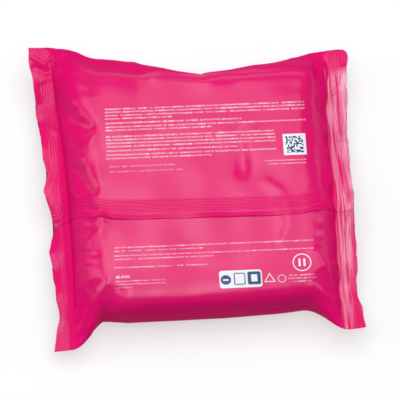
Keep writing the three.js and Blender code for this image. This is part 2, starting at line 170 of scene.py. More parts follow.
@dataclass
class FilmTube:
    """The film's shape, with the sizes that the part itself is made from, in millimetres."""

    pack_length: float = 175
    tube_width: float = 176
    pack_thickness: float = 38
    end_slope: float = 18
    end_slope_spread: float = 6
    contact_share: float = 0.93
    upper_flatness: float = 6.2
    lower_flatness: float = 10
    wall_roundness: float = 3.2
    notch_place: float = 3
    notch_reach_left: float = 34
    notch_reach_right: float = 52
    notch_round: float = 0.04
    notch_tuck: float = 9
    ear_length: float = 17
    ear_spread: float = 2.5
    side_tuck_power: float = 4
    end_seal_width: float = 11
    end_rib_zone: float = 7.2
    end_rib_count: int = 5
    end_rib_height: float = 0.26
    seal_thickness: float = 0.5
    left_seal_hollow: float = 4
    right_seal_hollow: float = 3
    left_seal_skew: float = 2.4
    right_seal_skew: float = 0.6
    seal_wave: float = 2.4
    seal_wave_power: float = 1.5
    long_wave: float = 13
    short_wave: float = 5.3
    short_wave_share: float = 0.45
    left_wave_phase: float = 0.6
    right_wave_phase: float = 2.1
    edge_ripple: float = 0.5
    edge_long_ripple: float = 7.1
    edge_short_ripple: float = 2.9
    corner_reach: float = 0.35
    bend_power: float = 3
    left_upper: Corner = Corner(lift=7, draw=-2.6)
    left_lower: Corner = Corner(lift=-6, draw=-4)
    right_upper: Corner = Corner(lift=-4, draw=4)
    right_lower: Corner = Corner(lift=0, draw=-1)
    ear_tucks: tuple[Bump, ...] = (Bump(at=-58, width=8, out=2.6), Bump(at=60, width=11, out=5))
    left_edge_bumps: tuple[Bump, ...] = (
        Bump(at=6, width=6, out=2.4),
        Bump(at=-31, width=4, out=1.6),
        Bump(at=-66, width=12, out=-1.6),
        Bump(at=78, width=6, out=0.8),
        Bump(at=14, width=5, out=-2.4),
        Bump(at=-14, width=9, out=-2.2),
        Bump(at=-72, width=5, out=-2.0),
    )
    right_edge_bumps: tuple[Bump, ...] = (Bump(at=-64, width=9, out=-1.8),)
    seam_drift: float = 7.8
    seam_tilt: float = 0.016
    left_curl: tuple[Point, ...] = ((-88, -0.2), (-60, -0.35), (60, -0.35), (88, 0))
    right_curl: tuple[Point, ...] = (
        (-88, 0), (-60, 0.1), (-8, 0.1), (10, 0), (40, 0), (60, 0.1), (88, 0),
    )
    sway_height: float = 5
    sway_length: float = 107
    sway_place: float = -37
    sway_reach: float = 9
    border_ripple: float = 0.7
    border_reach: float = 4
    border_short_wave: float = 2.9
    border_long_wave: float = 4.7
    border_long_share: float = 0.8
    border_phase: float = 1
    corner_round: float = 4.5
    shoulder_length: float = 18
    shoulder_roundness: float = 1.7
    shoulder_upper: float = 86
    shoulder_lower: float = 76
    shoulder_fade: float = 26
    upper_trim: tuple[Point, ...] = (
        (-72, 0.5), (-62, 4.4), (-50, 5.0), (-43, 4.0), (-36, 2.4), (-16, 1.6), (-5, 0.4), (2, -1.4),
        (4.5, -3.2), (7, -1.6), (18, 0), (36, 0.8), (47, -0.2), (54, -0.8), (60, 0), (67, 1.4), (76.5, 1.3),
    )
    lower_trim: tuple[Point, ...] = (
        (-76.5, 0), (-70, -1.9), (-66, -3.7), (-60, -4.6), (-57, -1.6), (-53, 0.8), (-46, 1.8), (-15, 1.8),
        (10, 1.2), (23, 0), (30, -0.8), (44, -2.0), (57, -2.2), (64, -1), (71, 0),
    )
    label_thickness: float = 0.3
    arc_samples: int = 240
    bisections: int = 40

    @property
    def half_tube(self) -> float:
        """Half the width of the flat tube."""
        return self.tube_width / 2

    @property
    def body_half(self) -> float:
        """From the pack's middle to an end seal."""
        return self.pack_length / 2 - self.end_seal_width

    @property
    def half_thickness(self) -> float:
        """Half the thickness that the pack would have if it weren't pressed flat below."""
        return self.pack_thickness / (1 + self.contact_share)

    def ramp_share(self, x: np.ndarray, length: float, spread: float) -> np.ndarray:
        """Ramp from 0 at an end seal to 1 in the middle of the pack.

        Args:
            x: Places along the pack.
            length: Where the ramp levels out, from the end seal.
            spread: How gently it does.

        Returns:
            The share at each place.
        """

        def level(distance: np.ndarray) -> np.ndarray:
            """Ramp before it is scaled to start at 0 and end at 1."""
            over = distance / length - 1
            return (over - np.hypot(over, spread / length)) / 2

        low = level(np.zeros(1))
        top = level(np.full(1, self.body_half))
        return (level(self.body_half - np.abs(x)) - low) / (top - low)

    def half_height(self, x: np.ndarray) -> np.ndarray:
        """Half the film's height at places along the pack."""
        share = self.ramp_share(x, self.end_slope, self.end_slope_spread)
        return mix(self.seal_thickness / 2, self.half_thickness, share)

    def notch_share(self, x: np.ndarray) -> np.ndarray:
        """How far the loose long side is drawn in, from 1 at its notch to 0.

        Args:
            x: Places along the pack.

        Returns:
            The share at each place.
        """
        reach = np.where(x < self.notch_place, self.notch_reach_left, self.notch_reach_right)
        away = np.hypot((x - self.notch_place) / reach, self.notch_round) - self.notch_round
        return np.maximum(0, 1 - away)

    def roundness(self, x: np.ndarray, upper: bool) -> np.ndarray:
        """Roundness of a side wall, from 1 at a sharp folded edge. The upper wall is the loose one."""
        full = self.ramp_share(x, self.ear_length, self.ear_spread)
        return mix(1, self.wall_roundness, full * self.notch_share(x) if upper else full)

    def quarter(
        self, width: np.ndarray, height: np.ndarray, roundness: np.ndarray, flatness: float
    ) -> np.ndarray:
        """Quarter sections from the middle of a face to the side edge.

        Args:
            width: Half width of each section.
            height: Half height of each.
            roundness: Roundness of each side wall.
            flatness: Flatness of the face.

        Returns:
            Y, Z and arc length of the samples of each section, stacked.
        """
        angle = np.linspace(0, math.pi / 2, self.arc_samples + 1)
        y = width[:, None] * np.sin(angle)[None] ** (2 / flatness)
        cosine = np.clip(np.cos(angle), 0, 1)[None]
        cosine = np.where(np.arange(self.arc_samples + 1) == self.arc_samples, 0, cosine)
        z = height[:, None] * cosine ** (2 / roundness[:, None])
        steps = np.hypot(np.diff(y, axis=1), np.diff(z, axis=1))
        arc = np.concatenate([np.zeros((len(width), 1)), np.cumsum(steps, axis=1)], axis=1)
        return np.stack([y, z, arc])

    def film_quarter(self, height: np.ndarray, roundness: np.ndarray, flatness: float) -> np.ndarray:
        """Quarter sections whose film is as long as half the tube is wide, because film doesn't stretch.

        Args:
            height: Half height of each section.
            roundness: Roundness of each side wall.
            flatness: Flatness of the face.

        Returns:
            Y, Z and arc length of the samples of each section, stacked.
        """
        narrow = np.full(len(height), self.half_tube / 2)
        wide = np.full(len(height), self.half_tube)
        for _ in range(self.bisections):
            middle = (narrow + wide) / 2
            long = self.quarter(middle, height, roundness, flatness)[2][:, -1] > self.half_tube
            wide = np.where(long, middle, wide)
            narrow = np.where(long, narrow, middle)
        return self.quarter(narrow, height, roundness, flatness)

    def section(
        self, x: np.ndarray, v: np.ndarray, back: bool
    ) -> tuple[np.ndarray, np.ndarray, np.ndarray]:
        """Y and height of the film in sections across the pack.

        Args:
            x: Places of the sections, held at the end seals beyond the body.
            v: Film positions from the centre line, across the tube.
            back: Whether it is the back layer, whose seam drifts across the pack towards its ends.

        Returns:
            Place across the tube, Y and height above its mid plane, each with a row for each section.
        """
        height = self.half_height(x)
        drift = self.seam_drift * (1 - height / self.half_thickness) - self.seam_tilt * x if back else 0 * x
        place = v[None] + drift[:, None] * (1 - (v[None] / self.half_tube) ** 2)
        y, z = np.empty(place.shape), np.empty(place.shape)
        for upper in (True, False):
            flatness = self.upper_flatness if upper else self.lower_flatness
            samples = self.film_quarter(height, self.roundness(x, upper), flatness)
            for row, (ys, zs, arc) in enumerate(zip(*samples)):
                chosen = place[row] >= 0 if upper else place[row] < 0
                along = np.abs(place[row, chosen]) / self.half_tube * arc[-1]
                y[row, chosen] = np.interp(along, arc, ys) * (1 if upper else -1)
                z[row, chosen] = np.interp(along, arc, zs)
        return place, y, z

    def seal_shift(self, side: np.ndarray, v: np.ndarray) -> np.ndarray:
        """How far an end seal's line stands out from a straight one.

        Args:
            side: Sign of X at each station, as a column.
            v: Film positions.

        Returns:
            The shift on X at each place.
        """
        share = v / self.half_tube
        hollow = np.where(side < 0, self.left_seal_hollow, self.right_seal_hollow)
        skew = np.where(side < 0, self.left_seal_skew, self.right_seal_skew)
        return side * (hollow * share * share + skew * share)

    def corner_bend(self, x: np.ndarray, v: np.ndarray) -> tuple[np.ndarray, np.ndarray]:
        """Lift and draw of the nearest corner, faded to nothing away from it.

        Args:
            x: Places along the pack, as a column.
            v: Film positions, as a row.

        Returns:
            Lift and draw at each place.
        """
        along = smooth((np.abs(x) / self.body_half - 1 + self.corner_reach) / self.corner_reach)
        across = smooth((np.abs(v) / self.half_tube - 1 + self.corner_reach) / self.corner_reach)
        upper = v >= 0
        corners = (self.left_upper, self.left_lower, self.right_upper, self.right_lower)
        parts = []
        for name in ("lift", "draw"):
            values = [getattr(corner, name) for corner in corners]
            on_left = np.where(upper, values[0], values[1])
            on_right = np.where(upper, values[2], values[3])
            parts.append(np.where(x < 0, on_left, on_right) * along * across)
        return parts[0], parts[1]

    def edge_shift(self, side: np.ndarray, v: np.ndarray) -> np.ndarray:
        """In and out unevenness of a cut edge.

        Args:
            side: Sign of X at each station, as a column.
            v: Film positions.

        Returns:
            The shift on X at each place.
        """
        shift = self.edge_ripple * np.sin(v / self.edge_long_ripple) * np.cos(v / self.edge_short_ripple)
        for end, bumps in ((End.LEFT, self.left_edge_bumps), (End.RIGHT, self.right_edge_bumps)):
            for bump in bumps:
                shift = shift + np.where(side * end.value > 0, bump.rise(v), 0)
        return side * shift

    def seal_lift(self, side: np.ndarray, out: np.ndarray, v: np.ndarray) -> np.ndarray:
        """Up and down waving of an end seal, growing towards its cut edge.

        Args:
            side: Sign of X at each station, as a column.
            out: How far each place is beyond the body.
            v: Film positions.

        Returns:
            The lift at each place.
        """
        growth = (out / self.end_seal_width) ** self.seal_wave_power
        phase = np.where(side < 0, self.left_wave_phase, self.right_wave_phase)
        long = np.sin(v / self.long_wave + phase)
        short = self.short_wave_share * np.sin(v / self.short_wave + 2 * phase)
        return self.seal_wave * growth * (long + short)

    def rounding(self, side: np.ndarray, v: np.ndarray) -> np.ndarray:
        """Share of the end seal's width that is left beside the rounded upper right corner.

        Args:
            side: Sign of X at each station, as a column.
            v: Film positions.

        Returns:
            The share at each place.
        """
        into = np.clip((v - self.half_tube) / self.corner_round + 1, 0, 1)
        lost = self.corner_round * (1 - np.sqrt(1 - into * into)) / self.end_seal_width
        return np.where(side > 0, 1 - lost, 1)

    def border_shift(self, x: np.ndarray, out: np.ndarray, v: np.ndarray) -> np.ndarray:
        """Waviness of the line where the body meets the right end seal.

        Args:
            x: Places along the pack, as a column.
            out: How far each place is beyond the body.
            v: Film positions.

        Returns:
            The shift on X at each place.
        """
        wave = np.sin(v / self.border_short_wave + self.border_phase)
        wave = wave + self.border_long_share * np.sin(v / self.border_long_wave)
        near = np.exp((x - self.body_half) / self.border_reach) * (1 - out / self.end_seal_width)
        return np.where(x > 0, self.border_ripple * wave * near, 0)

    def sway(self, x: np.ndarray, v: np.ndarray) -> np.ndarray:
        """Rise and fall of the right end seal along its length, faded out over the body."""
        line = self.sway_height * np.sin(2 * math.pi * (v - self.sway_place) / self.sway_length)
        return np.where(x > 0, line * np.exp((x - self.body_half) / self.sway_reach), 0)

    def curl(self, side: np.ndarray, v: np.ndarray) -> np.ndarray:
        """Upward slope of an end seal towards its cut edge."""
        left, right = (np.interp(v, *zip(*line)) for line in (self.left_curl, self.right_curl))
        return np.where(side < 0, left, right)

    def shoulder(self, x: np.ndarray, v: np.ndarray) -> np.ndarray:
        """How much fuller the back is than its ramp, between its ears, where the stack pushes the film up.

        Args:
            x: Places along the pack, as a column.
            v: Film positions, as a row.

        Returns:
            Height at each place.
        """
        short = 1 - np.clip((self.body_half - np.abs(x)) / self.shoulder_length, 0, 1)
        share = (1 - short**self.shoulder_roundness) ** (1 / self.shoulder_roundness)
        full = mix(self.seal_thickness / 2, self.half_thickness, share)
        edge = np.where(v >= 0, self.shoulder_upper, self.shoulder_lower)
        return np.maximum(0, full - self.half_height(x)) * smooth((edge - np.abs(v)) / self.shoulder_fade)

    def edge_tuck(self, x: np.ndarray, v: np.ndarray) -> np.ndarray:
        """How far a long side is drawn in: the loose one at its notch, the full one beside its ears.

        Args:
            x: Places along the pack, as a column.
            v: Film positions.

        Returns:
            The tuck at each place.
        """
        beside_ears = sum(tuck.rise(x) for tuck in self.ear_tucks)
        loose = self.notch_tuck * self.notch_share(x) - np.interp(x, *zip(*self.upper_trim))
        full = beside_ears - np.interp(x, *zip(*self.lower_trim))
        return np.where(v >= 0, loose, full)

    def points(self, x: np.ndarray, out: np.ndarray, v: np.ndarray, back: bool) -> np.ndarray:
        """Places of the plain film, before its folds.

        Args:
            x: Stations along the body, held at the end seals beyond it.
            out: How far each station is beyond the body.
            v: Film positions across the tube.
            back: Whether it is the back layer or the front one.

        Returns:
            An array of stations by positions by X, Y and Z.
        """
        row, y, z = self.section(x, v, back)
        column = x[:, None]
        side = np.sign(column)
        beyond = out[:, None] * self.rounding(side, row)
        lift, draw = self.corner_bend(column, row)
        tuck = self.edge_tuck(column, row) * (np.abs(y) / self.half_tube) ** self.side_tuck_power
        stretch = (np.abs(column) / self.body_half) ** self.bend_power
        place_x = column + side * beyond + self.seal_shift(side, row) * stretch
        place_x = place_x + self.edge_shift(side, row) * smooth(beyond / self.end_seal_width)
        place_x = place_x + self.border_shift(column, beyond, row)
        place_y = y - (tuck + draw) * np.sign(row)
        place_z = (z if back else -z) + lift + self.seal_lift(side, beyond, row)
        place_z = place_z + self.curl(side, row) * beyond + self.sway(column, row)
        if back:
            place_z = place_z + self.shoulder(column, row)
        floor = -self.half_thickness * self.contact_share
        place_z = np.where(beyond > 0, place_z, np.maximum(place_z, floor)) - floor + self.label_thickness
        return np.stack([place_x, place_y, place_z], axis=-1)


@dataclass
class FilmDetail:
    """What the real film adds to its plain shape: ribs, soft folds, creases and puckers, in millimetres."""

    tube: FilmTube
    folds: tuple[Fold, ...] = (
        Fold(((-84, 84), (-71, 77), (-61, 71), (-47, 67.5), (-24, 65)), 6, 1.7, Profile.CREASE),
        Fold(((-24, 65), (-7, 62.5), (8, 60)), 5, 1.0, Profile.CREASE),
        Fold(((30, 62), (52, 66), (68, 70)), 6, 0.9),
        Fold(((-66, 83), (-50, 77), (-30, 72)), 4, -1.2),
        Fold(((-77, 48), (-71, 40), (-65, 35)), 5, -3.0),
        Fold(((-79, 22), (-73, 11), (-68, 1), (-66, -3)), 4.5, -3.0),
        Fold(((-62, 30), (-65, 22), (-68, 14)), 3.5, 1.0),
        Fold(((-72, 64), (-70, 54)), 7, 2.0),
        Fold(((-77, -1), (-71, -5), (-64, -8), (-60, -15), (-59, -22)), 3.4, 1.8, Profile.CREASE),
        Fold(((-59, -22), (-62, -29), (-67, -37)), 4, 1.3),
        Fold(((-77, -26), (-77, -44), (-74, -62)), 4, -2.0),
        Fold(((23, 30), (24, 14), (24.4, 6)), 4, -1.3),
        Fold(((24.5, 10), (24.4, 5)), 7, -1.2),
        Fold(((38, -4), (44, -9), (47.5, -17.7), (49, -30), (45.5, -39)), 4, 1.0),
        Fold(((-58, -61), (-65, -69), (-71, -81)), 4, 2.0, Profile.CREASE),
        Fold(((-70, -68), (-76, -84)), 4, -1.8),
        Fold(((-52, -66), (-60, -76)), 4, -1.2),
        Fold(((74, 70), (74, 50), (75, 36)), 4, -2.0),
        Fold(((72, 18), (72, -8)), 4, -1.4),
        Fold(((76, -12), (73, -34), (75, -47)), 3, -1.4),
        Fold(((64, -48), (70, -60), (77, -76)), 4, 1.7),
        Fold(((60, -66), (70, -74), (78, -84)), 3.5, 1.6, Profile.CREASE),
        Fold(((62, -58), (70, -52), (76, -50)), 3, 1.1, Profile.CREASE),
    )
    seal_folds: tuple[Fold, ...] = (
        Fold(((81, 59), (85, 62), (88, 70), (93, 73)), 2.2, 1.5, Profile.CREASE),
        Fold(((90, 71), (91, 50), (90, 28)), 3, 0.9),
        Fold(((84, 34), (92, 30)), 2, 0.7),
        Fold(((84, -48), (89, -53), (92, -52)), 2.4, 0.8),
        Fold(((-92, 86), (-86, 81), (-82, 84)), 2.0, 1.3, Profile.CREASE),
        Fold(((-91, 80), (-84, 77)), 1.8, -1.1),
        Fold(((-84, 90), (-80, 84), (-78, 78)), 1.8, 1.1, Profile.CREASE),
        Fold(((-88, 72), (-82, 74)), 1.6, 0.6),
        Fold(((-78.6, -38), (-78.2, -60), (-77, -76)), 1.3, 0.8, Profile.CREASE),
        Fold(((-84, 44), (-79, 40)), 1.6, 0.5),
        Fold(((-82, -12), (-79, -8), (-77, -1)), 2, 0.8),
    )
    fold_full_height: float = 0.4
    pucker_count: int = 7
    pucker_height: float = 0.16
    pucker_lengths: Point = (5, 13)
    pucker_leans: Point = (-0.5, 0.5)
    pucker_reach: float = 9
    pucker_reaches: Point = (0.6, 1.5)
    pucker_start: float = 1.5
    patch_lengths: Point = (18, 40)
    patch_phases: Point = (0, 6)
    front_share: float = 0.4
    swell_count: int = 9
    swell_height: float = 0.35
    swell_length: float = 34
    swell_lengths: Point = (0.6, 1.6)
    tooth_depth: float = 0.5
    seed: int = 7

    def rib(self, out: np.ndarray) -> np.ndarray:
        """Height of an end seal's ribs.

        Args:
            out: Distances beyond the body.

        Returns:
            The height at each distance.
        """
        pitch = self.tube.end_rib_zone / self.tube.end_rib_count
        wave = 0.5 * self.tube.end_rib_height * np.sin(2 * math.pi * out / pitch)
        return np.where((out > 0) & (out < self.tube.end_rib_zone), wave, 0)

    def puckers(self, x: np.ndarray, v: np.ndarray) -> np.ndarray:
        """Small gathers of the film where it runs into the end seals.

        Args:
            x: Stations along the pack, as a column.
            v: Film positions, as a row.

        Returns:
            Height at each place.
        """
        noise = np.random.RandomState(self.seed)
        total = np.zeros(np.broadcast(x, v).shape)
        for end in End:
            away = self.tube.body_half - end.value * x
            for _ in range(self.pucker_count):
                length = noise.uniform(*self.pucker_lengths)
                lean = noise.uniform(*self.pucker_leans)
                phase = noise.uniform(0, 2 * math.pi)
                reach = self.pucker_reach * noise.uniform(*self.pucker_reaches)
                fade = np.exp(-away / reach) * (1 - np.exp(-away / self.pucker_start))
                patch = np.sin(v / noise.uniform(*self.patch_lengths) + noise.uniform(*self.patch_phases))
                wave = np.sin(2 * math.pi * (v + lean * away) / length + phase)
                total += self.pucker_height * fade * (1 + patch) / 2 * wave
        return total

    def swells(self, x: np.ndarray, y: np.ndarray) -> np.ndarray:
        """Slow unevenness of the film over the stack.

        Args:
            x: Places along the pack.
            y: Places across it, in the same shape.

        Returns:
            Height at each place.
        """
        noise = np.random.RandomState(self.seed + 1)
        total = np.zeros(x.shape)
        for _ in range(self.swell_count):
            heading = noise.uniform(0, math.pi)
            length = self.swell_length * noise.uniform(*self.swell_lengths)
            phase = noise.uniform(0, 2 * math.pi)
            along = x * math.cos(heading) + y * math.sin(heading)
            total += np.sin(2 * math.pi * along / length + phase)
        return total * self.swell_height / math.sqrt(self.swell_count)

    def points(self, x: np.ndarray, out: np.ndarray, v: np.ndarray, back: bool) -> np.ndarray:
        """Places of the film with all its detail.

        Args:
            x: Stations along the body.
            out: How far each is beyond the body.
            v: Film positions across the tube.
            back: Whether it is the back layer or the front one.

        Returns:
            An array of stations by positions by X, Y and Z.
        """
        places = self.tube.points(x, out, v, back)
        body = (self.tube.half_height(x) / self.tube.half_thickness)[:, None]
        height = self.puckers(x[:, None], v[None]) * (1 if back else self.front_share)
        if back:
            flat = (places[..., 0], places[..., 1])
            folds = sum((fold.rise(*flat) for fold in self.folds), self.swells(*flat))
            height = height + folds * smooth(body / self.fold_full_height)
        height = np.where(out[:, None] > 0, 0, height)
        direction = surface_normals(places) * (1 if back else -1)
        places = places + direction * height[..., None]
        places[..., 2] += self.rib(out)[:, None]
        places[..., 2] += sum(fold.rise(places[..., 0], places[..., 1]) for fold in self.seal_folds)
        if not back:
            places[..., 2] = np.maximum(places[..., 2], self.tube.label_thickness)
        return places


def surface_normals(places: np.ndarray) -> np.ndarray:
    """Unit normals of a grid of points, upwards on a flat one.

    Args:
        places: Rows and columns of X, Y and Z.

    Returns:
        A unit vector for each point.
    """
    along = np.gradient(places, axis=0)
    across = np.gradient(places, axis=1)
    normal = np.cross(along, across)
    length = np.linalg.norm(normal, axis=-1, keepdims=True)
    return normal / np.maximum(length, SHORTEST)


@dataclass
class Stations:
    """Where the film's cross sections lie along the pack."""

    tube: FilmTube
    ribbed: int = 30
    margin: int = 6
    body: int = 140
    crowding: float = 0.6

    def lines(self) -> tuple[np.ndarray, np.ndarray]:
        """Where the sections are, from the left cut edge to the right one.

        Returns:
            Places along the body, held at its ends, and distances beyond it.
        """
        zone = self.tube.end_rib_zone
        ribbed = np.linspace(0, zone, self.ribbed + 1)[1:]
        margin = np.linspace(zone, self.tube.end_seal_width, self.margin + 1)[1:]
        seal = np.concatenate([ribbed, margin])
        u = np.linspace(-1, 1, self.body + 1)
        body = self.tube.body_half * mix(u, np.sin(u * math.pi / 2), self.crowding)
        ends = np.full(len(seal), self.tube.body_half)
        x = np.concatenate([-ends, body, ends])
        out = np.concatenate([seal[::-1], np.zeros(len(body)), seal])
        return x, out


def flat_sheet(name: str, columns: int, rows: int) -> bpy.types.Object:
    """A flat grid, whose points are then moved into place.

    Args:
        name: Name of the new object.
        columns: Faces along X.
        rows: Faces along Y.

    Returns:
        The new object, active and alone selected.
    """
    bpy.ops.object.select_all(action="DESELECT")
    bpy.ops.mesh.primitive_grid_add(x_subdivisions=columns, y_subdivisions=rows, size=1)
    sheet = bpy.context.active_object
    sheet.name = name
    sheet.data.name = name
    return sheet


def place_points(sheet: bpy.types.Object, places: np.ndarray) -> None:
    """Moves a flat grid's points to their places.

    Args:
        sheet: The grid.
        places: Columns by rows of X, Y and Z, in millimetres.
    """
    count = len(sheet.data.vertices)
    flat = np.empty(count * 3)
    sheet.data.vertices.foreach_get("co", flat)
    grid = flat.reshape(-1, 3)
    column = np.rint((grid[:, 0] + 0.5) * (places.shape[0] - 1)).astype(int)
    row = np.rint((grid[:, 1] + 0.5) * (places.shape[1] - 1)).astype(int)
    sheet.data.vertices.foreach_set("co", (places[column, row] * MM).ravel())
    sheet.data.update()


def select_only(piece: bpy.types.Object) -> None:
    """Selects one piece alone and makes it active.

    Args:
        piece: The piece.
    """
    bpy.ops.object.select_all(action="DESELECT")
    piece.select_set(True)
    bpy.context.view_layer.objects.active = piece


def settle(piece: bpy.types.Object) -> None:
    """Puts a piece's place, turn and size into its mesh."""
    select_only(piece)
    bpy.ops.object.transform_apply(location=True, rotation=True, scale=True)


def faces_outward(piece: bpy.types.Object) -> None:
    """Turns all the faces of a closed piece outwards.

    Args:
        piece: The piece.
    """
    select_only(piece)
    bpy.ops.object.mode_set(mode="EDIT")
    bpy.ops.mesh.select_all(action="SELECT")
    bpy.ops.mesh.normals_make_consistent(inside=False)
    if bmesh.from_edit_mesh(piece.data).calc_volume(signed=True) < 0:
        bpy.ops.mesh.flip_normals()
    bpy.ops.object.mode_set(mode="OBJECT")


def apply_modifier(piece: bpy.types.Object, kind: str, **settings: object) -> None:
    """Adds a modifier to a piece and applies it.

    Args:
        piece: The piece.
        kind: The modifier's type.
        settings: Its values by name.
    """
    modifier = piece.modifiers.new(kind.title(), kind)
    for name, value in settings.items():
        setattr(modifier, name, value)
    select_only(piece)
    bpy.ops.object.modifier_apply(modifier=modifier.name)


def smooth_shading(piece: bpy.types.Object, degrees: float) -> None:
    """Shades a piece smoothly, apart from edges sharper than an angle."""
    select_only(piece)
    bpy.ops.object.shade_smooth_by_angle(angle=math.radians(degrees))


class Value:
    """A shader socket that takes part in sums and products as a number does."""

    def __init__(self, graph: "Graph", socket: bpy.types.NodeSocket) -> None:
        """Wraps an output socket of a graph."""
        self.graph = graph
        self.socket = socket

    def math(self, operation: str, *others: "Value | float", clamp: bool = False) -> "Value":
        """Result of a Math node on this value and others, held between 0 and 1 where it is clamped."""
        return self.graph.math(operation, self, *others, clamp=clamp)

    def __add__(self, other: "Value | float") -> "Value":
        """Sum."""
        return self.math("ADD", other)

    __radd__ = __add__

    def __sub__(self, other: "Value | float") -> "Value":
        """Difference."""
        return self.math("SUBTRACT", other)

    def __rsub__(self, other: float) -> "Value":
        """Difference from a number."""
        return self.graph.math("SUBTRACT", other, self)

    def __mul__(self, other: "Value | float") -> "Value":
        """Product."""
        return self.math("MULTIPLY", other)

    __rmul__ = __mul__

    def __abs__(self) -> "Value":
        """Size without its sign."""
        return self.math("ABSOLUTE")

    def more(self, other: "Value | float") -> "Value":
        """The larger of two values."""
        return self.math("MAXIMUM", other)

    def above(self, level: float, soft: float) -> "Value":
        """1 where the value is over a level and 0 under it, with an edge of a given softness."""
        return self.math("MULTIPLY_ADD", 1 / soft, 0.5 - level / soft, clamp=True)

    def below(self, level: float, soft: float) -> "Value":
        """1 where the value is under a level and 0 over it, with an edge of a given softness."""
        return self.math("MULTIPLY_ADD", -1 / soft, 0.5 + level / soft, clamp=True)

    def lifted(self, low: float) -> "Value":
        """The value squeezed so that 0 becomes a low value and 1 stays."""
        return self * (1 - low) + low

    def joined(self, other: "Value") -> "Value":
        """Length of the arrow that has this value and another as its sides."""
        return (self.math("POWER", 2) + other.math("POWER", 2)).math("SQRT")


class Graph:
    """A new material and the nodes that are added to it."""

    def __init__(self, name: str) -> None:
        """Makes an empty material.

        Args:
            name: The material's name.
        """
        self.material = bpy.data.materials.new(name)
        self.material.use_nodes = True
        self.tree = self.material.node_tree
        self.tree.nodes.clear()

    def node(
        self,
        kind: str,
        settings: dict[str, object] | None = None,
        inputs: dict[str | int, object] | None = None,
    ) -> bpy.types.Node:
        """Adds a node.

        Args:
            kind: The node's type, without its ShaderNode prefix.
            settings: Its own settings, which are set first.
            inputs: Values or links of its sockets, by name or number.

        Returns:
            The new node.
        """
        node = self.tree.nodes.new("ShaderNode" + kind)
        for name, value in (settings or {}).items():
            setattr(node, name, value)
        for name, value in (inputs or {}).items():
            if isinstance(value, Value):
                value = value.socket
            if isinstance(value, bpy.types.NodeSocket):
                self.tree.links.new(value, node.inputs[name])
            else:
                node.inputs[name].default_value = value
        return node

    def math(self, operation: str, *values: Value | float, clamp: bool = False) -> Value:
        """Adds a Math node.

        Args:
            operation: The node's operation.
            values: Its values or links, in order.
            clamp: Whether the result is held between 0 and 1.

        Returns:
            The node's result.
        """
        settings = {"operation": operation, "use_clamp": clamp}
        node = self.node("Math", settings, dict(enumerate(values)))
        return Value(self, node.outputs[0])

    def blend(self, factor: Value | float, a: object, b: object) -> bpy.types.NodeSocket:
        """Colour between a and b, each a colour or its socket, at a share of b."""
        node = self.node("Mix", {"data_type": "RGBA"}, {0: factor, MIX_A: a, MIX_B: b})
        return node.outputs[MIX_RESULT]

    def places(self) -> tuple[Value, Value, Value, bpy.types.NodeSocket]:
        """Places on the surface, in millimetres.

        Returns:
            X, Y and Z, and their vector.
        """
        source = self.node("TexCoord").outputs["Object"]
        scaled = self.node("VectorMath", {"operation": "SCALE"}, {0: source, "Scale": 1 / MM}).outputs[0]
        parts = self.node("SeparateXYZ", None, {0: scaled}).outputs
        return Value(self, parts[0]), Value(self, parts[1]), Value(self, parts[2]), scaled

    def noise(
        self, places: bpy.types.NodeSocket, size: float, detail: float = 2, stretch: Triple = (1, 1, 1)
    ) -> Value:
        """Noise around 0.5.

        Args:
            places: Vector of places in millimetres.
            size: Size of its spots in millimetres.
            detail: Finer octaves.
            stretch: Scale on each axis.

        Returns:
            The noise's value.
        """
        mapped = self.node("Mapping", None, {"Vector": places, "Scale": stretch}).outputs[0]
        inputs = {"Vector": mapped, "Scale": 1 / size, "Detail": detail}
        return Value(self, self.node("TexNoise", None, inputs).outputs[0])

    def bump(self, grain: Value, strength: float, height: float) -> bpy.types.NodeSocket:
        """Normal of a surface with a grain of a given strength and height, in millimetres."""
        inputs = {"Strength": strength, "Distance": height * MM, "Height": grain}
        return self.node("Bump", None, inputs).outputs[0]

    def finish(self, surface: bpy.types.Node) -> bpy.types.Material:
        """Connects the last shader to the material's output.

        Args:
            surface: The shader node.

        Returns:
            The material.
        """
        output = self.node("OutputMaterial")
        self.tree.links.new(surface.outputs[0], output.inputs["Surface"])
        return self.material


def rgba(colour: Colour) -> tuple[float, float, float, float]:
    """A colour with full opacity."""
    return (*colour, 1)


def grey(level: float) -> tuple[float, float, float, float]:
    """A grey with full opacity."""
    return rgba((level, level, level))


@dataclass(frozen=True)
class Spots:
    """Soft-edged spots of noise.

    Attributes:
        size: Size of the spots, in millimetres.
        edge: Noise level where a spot begins, and the softness of its edge.
        detail: Finer octaves.
        stretch: Scale on each axis, small along which the spots are long.
    """

    size: float
    edge: Step
    detail: float = 0
    stretch: Triple = (1, 1, 1)

    def mask(self, graph: Graph, places: bpy.types.NodeSocket) -> Value:
        """1 inside the spots and 0 outside them."""
        return graph.noise(places, self.size, self.detail, self.stretch).above(*self.edge)


@dataclass(frozen=True)
class PrintedBars:
    """Printed bars of one weight, which stand for lines of small print, in millimetres.

    Attributes:
        thickness: Thickness of each bar.
        strength: How strong its ink is.
        bars: Left end, right end and height of each.
    """

    thickness: float
    strength: float
    bars: tuple[Triple, ...]


